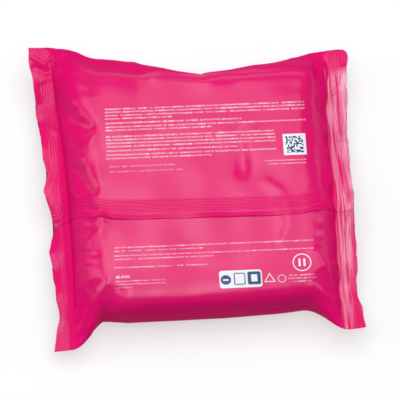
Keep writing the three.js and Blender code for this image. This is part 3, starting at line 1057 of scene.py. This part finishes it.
@dataclass(frozen=True)
class BackPrint:
    """The plain print on the back: bars for lines of text, a square of dots and a few simple marks.

    A place below the level of the back is taken for one that lies farther along and across, by a share of
    its drop, so that the lines run on straight in the photograph's view.
    """

    slide_along: float = 0.0815
    slide_across: float = 0.4003
    level: float = 38
    soft: float = 0.3
    ink_share: float = 0.9
    strokes: Spots = Spots(0.55, (0.46, 0.2), stretch=(1, 0.8, 0.01))
    gaps: Spots = Spots(1.5, (0.3, 0.1), stretch=(1, 0.3, 0.01))
    bold: Spots = Spots(6, (0.58, 0.04), stretch=(1, 1, 0.01))
    least_stroke: float = 0.25
    least_bold: float = 0.62
    weights: tuple[PrintedBars, ...] = (
        PrintedBars(0.85, 0.8, (
            (-51.7, 64, 46.4), (-51.7, 64, 44.5), (-51.7, 64, 42.4), (-51.7, -13, 40.4), (-51.7, 27, 37.6),
            (-51.8, 64, 35.2), (-51.8, 9.5, 33.2), (-52, 46, 29.2), (-52, 46, 27.2), (-52.2, 46, 25.1),
            (-52.2, 46, 23.0), (-52.4, 24, 20.4), (-52.5, 46, 17.8), (-52.9, 8.4, 15.7),
        )),
        PrintedBars(0.7, 0.45, ((-51.5, -13.4, 10.6), (-51.5, -9, 7.4))),
        PrintedBars(0.7, 0.6, (
            (38.3, 62.7, 10.5), (40.5, 62.7, 8.5),
            (-52.1, -23.4, -60.4), (-52.2, -23.4, -62.3), (-52.4, -42.5, -64.4),
        )),
        PrintedBars(0.7, 0.7, (
            (-51.3, 63.4, -39.7), (-51.5, 0, -41.8), (-51.7, 63.1, -44.7), (-51.8, 8, -46.9),
            (-52.1, 1.2, -52.0),
        )),
        PrintedBars(0.7, 0.8, ((48.1, 63, -60.9), (47.4, 63.6, -62.8), (50, 60.5, -64.8))),
        PrintedBars(1.6, 0.95, ((-51.9, -43.6, -57.7),)),
    )
    code_centre: Point = (56.7, 20.1)
    code_size: float = 13.2
    code_field: float = 10.4
    code_cell: float = 0.8
    code_dots: Step = (0.42, 0.02)
    panel_centre: Point = (20.0, -61.9)
    panel_size: Point = (24.6, 10.8)
    panel_corner: float = 1.8
    disc_centre: Point = (11.4, -62.2)
    disc_radius: float = 3.0
    disc_slot: Point = (3.2, 1.1)
    bag_centre: Point = (19.4, -61.8)
    bag_size: Point = (6.6, 7.4)
    block_centre: Point = (27.8, -61.6)
    block_size: Point = (7.6, 8.0)
    window_size: Point = (3.6, 4.4)
    frame_corner: float = 1.0
    window_corner: float = 0.6
    ring_centre: Point = (55.9, -53.2)
    ring_radius: float = 5.1
    stroke: float = 0.6
    post_place: float = 1.4
    post_half: Point = (0.6, 2.3)
    triangle_centre: Point = (36.7, -62.6)
    triangle_slant: Point = (0.87, 0.5)
    triangle_radius: float = 1.643
    triangle_stroke: float = 0.4615
    loop_centre: Point = (43.7, -62.7)
    loop_radius: float = 2.2
    loop_stroke: float = 0.4
    loop_strength: float = 0.7
    lowest_back: Step = (22, 1)

    def box(self, t: Value, w: Value, centre: Point, size: Point) -> Value:
        """A filled rectangle.

        Args:
            t: Places along the print lines.
            w: Places across them.
            centre: Its middle.
            size: Its whole sizes.

        Returns:
            1 inside it and 0 outside it.
        """
        across = abs(t - centre[0]).below(size[0] / 2, self.soft)
        up = abs(w - centre[1]).below(size[1] / 2, self.soft)
        return across * up

    def distance(self, t: Value, w: Value, centre: Point) -> Value:
        """Distance from a point."""
        return (t - centre[0]).joined(w - centre[1])

    def line(self, distance: Value, stroke: float) -> Value:
        """1 on a line where a distance is 0, and 0 beside it."""
        return abs(distance).below(stroke / 2, self.soft)

    def rounded(self, t: Value, w: Value, centre: Point, size: Point, corner: float) -> Value:
        """A filled rectangle with round corners.

        Args:
            t: Places along the print lines.
            w: Places across them.
            centre: Its middle.
            size: Its whole sizes.
            corner: Radius of its corners.

        Returns:
            1 inside it and 0 outside it.
        """
        over_t = (abs(t - centre[0]) - (size[0] / 2 - corner)).more(0)
        over_w = (abs(w - centre[1]) - (size[1] / 2 - corner)).more(0)
        return over_t.joined(over_w).below(corner, self.soft)

    def frame(self, t: Value, w: Value, centre: Point, size: Point, window: Point) -> Value:
        """1 on a round-cornered rectangle and 0 beside it and in its window, by their whole sizes."""
        outer = self.rounded(t, w, centre, size, self.frame_corner)
        return outer * (1 - self.rounded(t, w, centre, window, self.window_corner))

    def text(self, graph: Graph, t: Value, w: Value, places: bpy.types.NodeSocket) -> Value:
        """Ink of all the bars, broken up like small print that can't be read.

        Args:
            graph: The material's graph.
            t: Places along the print lines.
            w: Places across them.
            places: Vector of places.

        Returns:
            The share of white ink.
        """
        ink = reduce(Value.more, (self.bar_ink(t, w, weight) for weight in self.weights))
        strokes = self.strokes.mask(graph, places).lifted(self.least_stroke)
        gaps = self.gaps.mask(graph, places)
        bold = self.bold.mask(graph, places).lifted(self.least_bold)
        return ink * strokes * gaps * bold * self.ink_share

    def bar_ink(self, t: Value, w: Value, weight: PrintedBars) -> Value:
        """Ink of the bars of one weight, before they are broken up.

        Args:
            t: Places along the print lines.
            w: Places across them.
            weight: The bars.

        Returns:
            The share of white ink.
        """
        marks = (
            self.box(t, w, ((left + right) / 2, height), (right - left, weight.thickness))
            for left, right, height in weight.bars
        )
        return reduce(Value.more, marks) * weight.strength

    def code(self, graph: Graph, t: Value, w: Value) -> Value:
        """Square of small dots in no meaningful order.

        Args:
            graph: The material's graph.
            t: Places along the print lines.
            w: Places across them.

        Returns:
            The share of dark ink.
        """
        cells = [(value * (1 / self.code_cell)).math("FLOOR") for value in (t, w)]
        cell = graph.node("CombineXYZ", None, dict(enumerate(cells))).outputs[0]
        chance = graph.node("TexWhiteNoise", {"noise_dimensions": "2D"}, {"Vector": cell}).outputs[0]
        dots = Value(graph, chance).above(*self.code_dots)
        return dots * self.box(t, w, self.code_centre, (self.code_field, self.code_field))

    def inks(self, graph: Graph) -> tuple[Value, Value]:
        """White and navy ink over the whole back.

        Args:
            graph: The material's graph.

        Returns:
            The shares of white ink and, on top of it, navy ink.
        """
        x, y, z, places = graph.places()
        drop = z - self.level
        t, w = x + self.slide_along * drop, y + self.slide_across * drop
        on_back = z.above(*self.lowest_back)
        square = self.box(t, w, self.code_centre, (self.code_size, self.code_size))
        panel = self.rounded(t, w, self.panel_centre, self.panel_size, self.panel_corner)
        ring = self.line(self.distance(t, w, self.ring_centre) - self.ring_radius, self.stroke)
        posts = abs(abs(t - self.ring_centre[0]) - self.post_place).below(self.post_half[0], self.soft)
        posts = posts * abs(w - self.ring_centre[1]).below(self.post_half[1], self.soft)
        aside, up = abs(t - self.triangle_centre[0]), w - self.triangle_centre[1]
        slope = (aside * self.triangle_slant[0] + up * self.triangle_slant[1]).more(up * -1)
        triangle = self.line(slope - self.triangle_radius, self.triangle_stroke)
        loop = self.line(self.distance(t, w, self.loop_centre) - self.loop_radius, self.loop_stroke)
        marks = ring.more(posts).more(triangle).more(loop * self.loop_strength)
        white = self.text(graph, t, w, places).more(marks).more(square).more(panel)
        disc = self.distance(t, w, self.disc_centre).below(self.disc_radius, self.soft)
        disc = disc * (1 - self.box(t, w, self.disc_centre, self.disc_slot))
        inner = (self.bag_size[0] - 2 * self.stroke, self.bag_size[1] - 2 * self.stroke)
        bag = self.frame(t, w, self.bag_centre, self.bag_size, inner)
        block = self.frame(t, w, self.block_centre, self.block_size, self.window_size)
        navy = self.code(graph, t, w).more(disc).more(bag).more(block)
        return white * on_back, navy * on_back


@dataclass(frozen=True)
class PinkFilm:
    """Satin printed packaging film, with its print on the back.

    It is glossiest where it is taut over the stack. Its walls and ends are duller, and its right end seal
    has
    painted highlights: pale streaks and a pale margin painted into its colour where the seal catches light.
    """

    name: str = "pink_film"
    deep: Colour = (0.76, 0.0025, 0.138)
    light: Colour = (0.80, 0.006, 0.155)
    white: Colour = (0.86, 0.86, 0.90)
    navy: Colour = (0.012, 0.06, 0.16)
    # Pale colour of the painted highlights on the right end seal.
    painted_highlight: Colour = (0.90, 0.40, 0.56)
    cloud: Spots = Spots(45, (0.5, 0.5), detail=3)
    # Streaks of the right end seal's gloss, which also shape its painted highlights.
    streaks: Spots = Spots(1.7, (0.49, 0.16), detail=2, stretch=(1, 0.06, 0.1))
    seal_line: Step = (79, 2)
    seal_top: Step = (73, 4)
    dull_margin: Step = (90.2, 1.2)
    dull_slant: float = 0.064
    dull_start: Step = (-8, 6)
    dull_share: float = 0.9
    seal_gloss: float = 1.0
    least_streak: float = 0.4
    # Place and strength of the painted highlight on the right end seal's curled outer margin.
    highlight_margin: Step = (87, 2.5)
    highlight_start: Step = (-8, 10)
    edge_highlight_share: float = 0.75
    least_edge_highlight: float = 0.5
    # Strength of the painted highlight streaks on the right end seal.
    painted_streak_share: float = 0.44
    gloss: float = 0.45
    least_gloss: float = 0.08
    dull_height: float = 13
    dull_reach: Step = (12, 4)
    taut_reach: Step = (70, 9)
    wall_top: Step = (33, 3)
    wall_line: Step = (67, 4)
    left_taut: Step = (-62, 8)
    left_slack: float = 0.6
    end_gloss: float = 0.3
    mottle_size: float = 22
    mottle_detail: float = 3
    mottle_base: float = 0.7
    mottle_gain: float = 0.6
    grain_size: float = 3.5
    fine_grain_size: float = 0.8
    fine_grain_share: float = 0.4
    bump_strength: float = 0.25
    bump_height: float = 0.12
    roughness: float = 0.4
    ior: float = 1.03
    coat_roughness: float = 0.22
    coat_ior: float = 1.75
    printed: BackPrint | None = BackPrint()

    def make(self) -> bpy.types.Material:
        """Builds the material.

        Returns:
            The material.
        """
        graph = Graph(self.name)
        x, y, z, places = graph.places()
        colour = graph.blend(self.cloud.mask(graph, places), rgba(self.deep), rgba(self.light))
        on_seal = x.above(*self.seal_line)
        streaks = self.streaks.mask(graph, places)
        dull_edge = (x - y * self.dull_slant).above(*self.dull_margin) * y.below(*self.dull_start)
        # Where the right end seal is glossy, which is also where its painted highlights go.
        bright = on_seal * y.below(*self.seal_top) * (1 - self.dull_share * dull_edge)
        seal_sheen = self.seal_gloss * bright * streaks.lifted(self.least_streak)
        sheen = self.sheen(graph, x, y, z, places).more(seal_sheen)
        # Painted highlight on the curled outer margin of the right end seal, where it catches the light.
        painted_edge_highlight = x.above(*self.highlight_margin) * y.above(*self.highlight_start) * streaks.lifted(self.least_edge_highlight)
        # Painted highlight: pale colour painted in streaks where the right end seal is glossy, and on its
        # curled margin.
        painted_highlight = bright * (self.painted_streak_share * streaks).more(self.edge_highlight_share * painted_edge_highlight)
        colour = graph.blend(painted_highlight, colour, rgba(self.painted_highlight))
        if self.printed:
            white, navy = self.printed.inks(graph)
            colour = graph.blend(white, colour, rgba(self.white))
            colour = graph.blend(navy, colour, rgba(self.navy))
        grain = graph.noise(places, self.fine_grain_size) * self.fine_grain_share
        grain = grain + graph.noise(places, self.grain_size)
        inputs = {
            "Base Color": colour,
            "Roughness": self.roughness,
            "IOR": self.ior,
            "Coat Weight": sheen,
            "Coat Roughness": self.coat_roughness,
            "Coat IOR": self.coat_ior,
            "Normal": graph.bump(grain, self.bump_strength, self.bump_height),
        }
        return graph.finish(graph.node("BsdfPrincipled", None, inputs))

    def sheen(self, graph: Graph, x: Value, y: Value, z: Value, places: bpy.types.NodeSocket) -> Value:
        """Gloss of the film, apart from its right end seal.

        Args:
            graph: The material's graph.
            x: Places along the pack.
            y: Places across it.
            z: Heights.
            places: Vector of places.

        Returns:
            The weight of the gloss.
        """
        taut = abs(z - self.dull_height).above(*self.dull_reach) * abs(x).below(*self.taut_reach)
        on_wall = z.below(*self.wall_top) * abs(y).above(*self.wall_line)
        taut = taut * (1 - on_wall) * (1 - self.left_slack * x.below(*self.left_taut))
        mottle = graph.noise(places, self.mottle_size, self.mottle_detail)
        mottle = self.mottle_base + self.mottle_gain * mottle
        over_stack = self.gloss * taut.lifted(self.least_gloss) * mottle
        return over_stack.more(self.end_gloss * mottle * abs(x).above(*self.seal_line))


@dataclass(frozen=True)
class LabelFilm:
    """Pale gloss label with a plain pink border and the pressed outline of the opening under it."""

    name: str = "label_film"
    pale: Colour = (0.86, 0.78, 0.82)
    border: Colour = (0.72, 0.02, 0.16)
    border_power: float = 4
    border_edge: Step = (1, 0.04)
    opening_share: Point = (0.72, 0.66)
    groove_edge: Step = (0.03, 0.04)
    groove_depth: float = 2
    grain_size: float = 2.0
    cloud_size: float = 9
    detail: float = 3
    bump_strength: float = 0.3
    bump_height: float = 0.2
    roughness: float = 0.3
    roughness_gain: float = 0.1

    def oval(self, x: Value, y: Value, half: Point, power: float) -> Value:
        """Value that is 1 on an oval of given half sizes and less inside it; a higher power is squarer."""
        return (x * (1 / half[0])).math("POWER", power) + (y * (1 / half[1])).math("POWER", power)

    def make(self, half_length: float, half_width: float) -> bpy.types.Material:
        """Builds the material.

        Args:
            half_length: Half the length of the field inside the border, in millimetres.
            half_width: Half its width.

        Returns:
            The material.
        """
        graph = Graph(self.name)
        x, y, _, places = graph.places()
        field = self.oval(x, y, (half_length, half_width), self.border_power)
        colour = graph.blend(field.above(*self.border_edge), rgba(self.pale), rgba(self.border))
        half = (self.opening_share[0] * half_length, self.opening_share[1] * half_width)
        groove = abs(self.oval(x, y, half, 2) - 1).below(*self.groove_edge)
        grain = graph.noise(places, self.grain_size, self.detail) - self.groove_depth * groove
        normal = graph.bump(grain, self.bump_strength, self.bump_height)
        rough = self.roughness + self.roughness_gain * graph.noise(places, self.cloud_size, self.detail)
        inputs = {"Base Color": colour, "Roughness": rough, "Normal": normal}
        return graph.finish(graph.node("BsdfPrincipled", None, inputs))


@dataclass
class FilmPack:
    """The film with the stack of wipes sealed in it."""

    detail: FilmDetail
    stations: Stations
    shift: Point = (0, 0)
    back_strips: int = 256
    front_strips: int = 128
    merge_distance: float = 0.0001
    smooth_angle: float = 62

    def build(self) -> bpy.types.Object:
        """Wraps a flat sheet into the film tube and closes its seam and its cut edges.

        Returns:
            The film.
        """
        x, out = self.stations.lines()
        half = self.detail.tube.half_tube
        back_v = np.linspace(-half, half, self.back_strips + 1)
        front_v = np.linspace(-half, half, self.front_strips + 1)
        back = self.detail.points(x, out, back_v, True)
        front = self.detail.points(x, out, front_v, False)
        self.cut_teeth(back)
        for edge in (0, -1):
            middle = (back[:, edge] + front[:, edge]) / 2
            back[:, edge], front[:, edge] = middle, middle
        places = np.concatenate([back, front[:, -2::-1]], axis=1)
        places[..., :2] += np.array(self.shift)
        film = flat_sheet("film", len(x) - 1, self.back_strips + self.front_strips)
        place_points(film, places)
        self.close(film)
        faces_outward(film)
        smooth_shading(film, self.smooth_angle)
        log.info("film: %d faces", len(film.data.polygons))
        return film

    def cut_teeth(self, back: np.ndarray) -> None:
        """Pushes every other point of the back layer's cut edges out, as the zigzag knife leaves them."""
        for end, row in ((End.LEFT, 0), (End.RIGHT, -1)):
            back[row, 1::2, 0] += end.value * self.detail.tooth_depth

    def close(self, film: bpy.types.Object) -> None:
        """Merges the sheet's long edges and joins the two layers at each cut edge.

        Args:
            film: The wrapped sheet.
        """
        ring = self.back_strips + self.front_strips
        columns = len(self.stations.lines()[0])
        mesh = bmesh.new()
        mesh.from_mesh(film.data)
        mesh.verts.ensure_lookup_table()
        rims = [[mesh.verts[k * columns + c] for k in range(ring + 1)] for c in (0, columns - 1)]
        ratio = self.back_strips // self.front_strips
        for rim in rims:
            back = rim[: self.back_strips + 1]
            front = [rim[ring - j] for j in range(self.front_strips + 1)]
            front[0], front[-1] = back[0], back[-1]
            for j in range(self.front_strips):
                corners = back[j * ratio : (j + 1) * ratio + 1] + [front[j + 1], front[j]]
                mesh.faces.new(list(dict.fromkeys(corners)))
        bmesh.ops.remove_doubles(mesh, verts=mesh.verts, dist=self.merge_distance * MM)
        mesh.to_mesh(film.data)
        mesh.free()

    def dress(self, film: bpy.types.Object, finish: PinkFilm) -> None:
        """Gives the film its finish and its place in the frame.

        Args:
            film: The film.
            finish: Its finish.
        """
        film.data.materials.append(finish.make())
        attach(film, BODY)
        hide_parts("film_pack")


@dataclass
class BackSeal:
    """The film's long edges, crimped together and folded down on the back, in millimetres."""

    detail: FilmDetail
    stations: Stations
    shift: Point = (0, 0)
    width: float = 12.5
    offset: float = 17.6
    rows: int = 44
    rib_count: int = 5
    rib_height: float = 0.42
    rib_end_share: float = 0.35
    ribs_from: float = 0.3
    ribs_to: float = 0.97
    hinge_rise: float = 0.05
    lip_share: float = 0.28
    lip_power: float = 1.5
    lip_edge: float = 0.2
    lip_turn: float = 0.8
    free_rise: float = 0.8
    free_fade: float = 14
    wave_height: float = 0.2
    long_wave: float = 11
    short_wave: float = 4.7
    short_wave_share: float = 0.6
    short_wave_phase: float = 1
    pressed_rise: float = 0.15
    thickness: float = 0.22
    smooth_angle: float = 50

    def build(self) -> bpy.types.Object:
        """Lays a ribbed strip over the film and gives it its thickness.

        Returns:
            The folded seal.
        """
        x, out = self.stations.lines()
        share = np.linspace(0, 1, self.rows + 1)
        v = -self.offset - self.width / 2 + self.width * share
        places = self.detail.points(x, out, v, True)
        away = (self.detail.tube.body_half - np.abs(x)) / self.free_fade
        rise = self.rise(x[:, None], share[None], (smooth(away) * (out == 0))[:, None])
        places = places + surface_normals(places) * (rise + self.thickness)[..., None]
        places[..., :2] += np.array(self.shift)
        seal = flat_sheet("back_seal", len(x) - 1, self.rows)
        place_points(seal, places)
        apply_modifier(seal, "SOLIDIFY", thickness=self.thickness * MM, offset=-1)
        faces_outward(seal)
        smooth_shading(seal, self.smooth_angle)
        log.info("back seal: %d faces", len(seal.data.polygons))
        return seal

    def rise(self, along: np.ndarray, across: np.ndarray, body: np.ndarray) -> np.ndarray:
        """Height of the folded seal over the film: its loose lip and its ribs.

        Args:
            along: Places along the pack, as a column.
            across: Shares of the seal's width from its loose edge, as a row.
            body: 1 over the stack and 0 at the end seals, as a column.

        Returns:
            The height at each place.
        """
        wave = np.sin(along / self.long_wave)
        wave = wave + self.short_wave_share * np.sin(along / self.short_wave + self.short_wave_phase)
        lip = np.clip(1 - across / self.lip_share, 0, 1)
        turned = 1 - self.lip_turn * smooth((lip - 1 + self.lip_edge) / self.lip_edge)
        free = (self.free_rise + self.wave_height * wave) * lip**self.lip_power * turned
        rise = self.hinge_rise + mix(self.pressed_rise * lip, free, body)
        turns = (across - self.ribs_from) / (self.ribs_to - self.ribs_from)
        ribs = 0.5 * self.rib_height * np.sin(2 * math.pi * self.rib_count * turns)
        return rise + np.where((turns > 0) & (turns < 1), ribs, 0) * mix(self.rib_end_share, 1, body)

    def dress(self, seal: bpy.types.Object, finish: PinkFilm) -> None:
        """Gives the seal its finish and its place in the frame.

        Args:
            seal: The folded seal.
            finish: Its finish.
        """
        seal.data.materials.append(finish.make())
        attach(seal, BODY)


@dataclass
class PeelLabel:
    """The label that closes the opening in the front, under the pack, in millimetres."""

    length: float = 80
    width: float = 52
    corner: float = 9
    tab_width: float = 20
    tab_length: float = 8
    tab_sides: int = 64
    corner_segments: int = 10
    rim: float = 0.08
    rim_segments: int = 2
    merge_distance: float = 0.002
    smooth_angle: float = 40
    border: float = 3

    def build(self) -> bpy.types.Object:
        """Models the label from a plate with round corners and a round tab.

        Returns:
            The label.
        """
        low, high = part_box("peel_label")
        middle_y = (low.y + high.y) / 2
        thickness = high.z - low.z
        plate_x = low.x + self.length * MM / 2
        bpy.ops.object.select_all(action="DESELECT")
        bpy.ops.mesh.primitive_cube_add(size=1, location=(plate_x, middle_y, thickness / 2))
        label = bpy.context.active_object
        label.name = "label"
        label.scale = (self.length * MM, self.width * MM, thickness)
        settle(label)
        self.round_corners(label)
        tab_place = (low.x + self.length * MM, middle_y, thickness / 2)
        bpy.ops.object.select_all(action="DESELECT")
        bpy.ops.mesh.primitive_cylinder_add(vertices=self.tab_sides, radius=1, depth=1, location=tab_place)
        tab = bpy.context.active_object
        tab.scale = (self.tab_length * MM, self.tab_width / 2 * MM, thickness)
        settle(tab)
        apply_modifier(label, "BOOLEAN", operation="UNION", object=tab)
        bpy.data.objects.remove(tab)
        apply_modifier(
            label, "BEVEL", width=self.rim * MM, segments=self.rim_segments, limit_method="ANGLE"
        )
        apply_modifier(label, "WELD", merge_threshold=self.merge_distance * MM)
        faces_outward(label)
        smooth_shading(label, self.smooth_angle)
        log.info("label: %d faces", len(label.data.polygons))
        return label

    def round_corners(self, label: bpy.types.Object) -> None:
        """Rounds the four upright edges of the plate.

        Args:
            label: The plate, active and in place.
        """
        bpy.ops.object.mode_set(mode="EDIT")
        bpy.ops.mesh.select_mode(type="EDGE")
        bpy.ops.mesh.select_all(action="DESELECT")
        mesh = bmesh.from_edit_mesh(label.data)
        for edge in mesh.edges:
            a, b = edge.verts
            if abs(a.co.z - b.co.z) > abs(a.co.x - b.co.x) + abs(a.co.y - b.co.y):
                edge.select_set(True)
        bmesh.update_edit_mesh(label.data)
        bpy.ops.mesh.bevel(offset=self.corner * MM, segments=self.corner_segments, affect="EDGES")
        bpy.ops.object.mode_set(mode="OBJECT")

    def dress(self, label: bpy.types.Object, finish: LabelFilm) -> None:
        """Gives the label its finish and its place in the frame.

        Args:
            label: The label.
            finish: Its finish.
        """
        field = (self.length / 2 - self.border, self.width / 2 - self.border)
        label.data.materials.append(finish.make(*field))
        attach(label, BODY)
        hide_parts("peel_label")


@dataclass
class PhotoCamera:
    """Camera with a long lens at the photograph's angle, in degrees and millimetres."""

    azimuth: float = -11.494
    elevation: float = 67.785
    roll: float = -8.352
    field_width: float = 230.9
    lens: float = 1000
    sensor: float = 36
    right_of_middle: float = 1.53
    below_middle: float = 4.83
    far_limit: float = 20000

    def place(self) -> bpy.types.Object:
        """Adds the camera and aims it at the pack.

        Returns:
            The camera.
        """
        a, e, r = (math.radians(angle) for angle in (self.azimuth, self.elevation, self.roll))
        back = Vector((math.sin(a) * math.cos(e), -math.cos(a) * math.cos(e), math.sin(e)))
        right = Vector((math.cos(a), math.sin(a), 0))
        up = back.cross(right)
        view_x = math.cos(r) * right - math.sin(r) * up
        view_y = math.sin(r) * right + math.cos(r) * up
        low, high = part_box("film_pack")
        target = (low + high) / 2 + (self.right_of_middle * view_x - self.below_middle * view_y) * MM
        distance = self.field_width * MM * self.lens / self.sensor
        data = bpy.data.cameras.new("photo_camera")
        data.lens = self.lens
        data.sensor_width = self.sensor
        data.clip_end = self.far_limit * MM
        camera = bpy.data.objects.new("photo_camera", data)
        bpy.context.scene.collection.objects.link(camera)
        turn = Matrix((view_x, view_y, back)).transposed().to_4x4()
        camera.matrix_world = Matrix.Translation(target + back * distance) @ turn
        bpy.context.scene.camera = camera
        return camera


@dataclass(frozen=True)
class Softbox:
    """A soft lamp: where it stands from the pack, in metres, and how strong it is, in watts."""

    name: str
    place: Triple
    size: Point
    power: float
    colour: Colour = (0.94, 0.96, 1)

    def hang(self) -> None:
        """Adds the lamp and points it at the pack."""
        data = bpy.data.lights.new(self.name, "AREA")
        data.shape = "RECTANGLE"
        data.size, data.size_y = self.size
        data.energy = self.power
        data.color = self.colour
        lamp = bpy.data.objects.new(self.name, data)
        bpy.context.scene.collection.objects.link(lamp)
        lamp.location = self.place
        lamp.rotation_euler = Vector(self.place).to_track_quat("Z", "Y").to_euler()


@dataclass
class Studio:
    """Plain pale floor and soft light, in metres, apart from the floor's clouds, in millimetres."""

    floor_size: float = 30
    floor_drop: float = 0.0003
    floor_grey: float = 0.45
    floor_bounce: float = 0.65
    floor_glow: float = 0.55
    cloud_size: float = 90
    cloud_detail: float = 3
    cloud_share: float = 0.97
    sky: float = 0.16
    lamps: tuple[Softbox, ...] = (
        Softbox("ceiling_softbox", (0.04, 0.08, 1.2), (1.5, 1.6), 12.6),
        Softbox("back_softbox", (-0.12, 0.30, 1.05), (0.40, 0.40), 0.8),
        Softbox("front_softbox", (-0.10, -0.36, 1.0), (0.38, 0.40), 1.3),
        Softbox("left_softbox", (-0.95, 0.12, 0.50), (0.36, 0.90), 2.6),
        Softbox("back_strip", (0.10, 1.05, 0.46), (1.0, 0.30), 1.3),
        Softbox("side_strip", (0.85, 0.1, 0.40), (0.16, 0.9), 1.2),
    )

    def build(self) -> None:
        """Adds the floor, the sky and the lamps."""
        bpy.ops.object.select_all(action="DESELECT")
        bpy.ops.mesh.primitive_plane_add(size=self.floor_size, location=(0, 0, -self.floor_drop))
        floor = bpy.context.active_object
        floor.name = "floor"
        settle(floor)
        floor.data.materials.append(self.floor_paint())
        for lamp in self.lamps:
            lamp.hang()
        world = bpy.data.worlds.new("sky")
        bpy.context.scene.world = world
        world.use_nodes = True
        sky = world.node_tree.nodes["Background"].inputs
        sky["Color"].default_value = grey(1)
        sky["Strength"].default_value = self.sky
        bpy.context.scene.view_settings.view_transform = "Standard"
        log.info("studio: %d lamps", len(self.lamps))

    def floor_paint(self) -> bpy.types.Material:
        """Floor that looks white to the camera and keeps the pack's shadow.

        Returns:
            The material.
        """
        graph = Graph("floor_paint")
        _, _, _, places = graph.places()
        cloud = graph.noise(places, self.cloud_size, self.cloud_detail)
        paint = graph.blend(cloud, grey(self.floor_grey), grey(self.floor_grey * self.cloud_share))
        matt = graph.node("BsdfDiffuse", None, {"Color": paint})
        bounce = graph.node("BsdfDiffuse", None, {"Color": grey(self.floor_bounce)})
        rays = graph.node("LightPath").outputs
        seen = Value(graph, rays["Is Camera Ray"]).more(Value(graph, rays["Is Glossy Ray"]))
        seen = seen.more(Value(graph, rays["Is Transmission Ray"]))
        glow = graph.node("Emission", None, {"Color": grey(1), "Strength": self.floor_glow})
        lit = graph.node("AddShader", None, {0: matt.outputs[0], 1: glow.outputs[0]})
        shown = graph.node("MixShader", None, {0: seen, 1: bounce.outputs[0], 2: lit.outputs[0]})
        return graph.finish(shown)


def pack_shift(tube: FilmTube, stations: Stations, samples: int = 65) -> Point:
    """How far the film is moved so that its outline is centred on the origin, in millimetres.

    Args:
        tube: The film's plain shape.
        stations: Its cross sections.
        samples: Film positions that are looked at in each section.

    Returns:
        The shift on X and Y.
    """
    x, out = stations.lines()
    v = np.linspace(-tube.half_tube, tube.half_tube, samples)
    plain = tube.points(x, out, v, True)[..., :2].reshape(-1, 2)
    middle = (plain.min(axis=0) + plain.max(axis=0)) / 2
    return -float(middle[0]), -float(middle[1])


def main() -> None:
    """Builds the pack and the studio."""
    logging.basicConfig(level=logging.INFO, format="%(name)s: %(message)s")
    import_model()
    PhotoCamera().place()
    tube = FilmTube()
    stations = Stations(tube)
    shift = pack_shift(tube, stations)
    detail = FilmDetail(tube)
    pack = FilmPack(detail, stations, shift=shift)
    pack.dress(pack.build(), PinkFilm())
    seal = BackSeal(detail, stations, shift=shift)
    seal.dress(seal.build(), PinkFilm("pink_seal_film", gloss=0.3, printed=None))
    label = PeelLabel()
    label.dress(label.build(), LabelFilm())
    Studio().build()


if __name__ == "__main__":
    main()
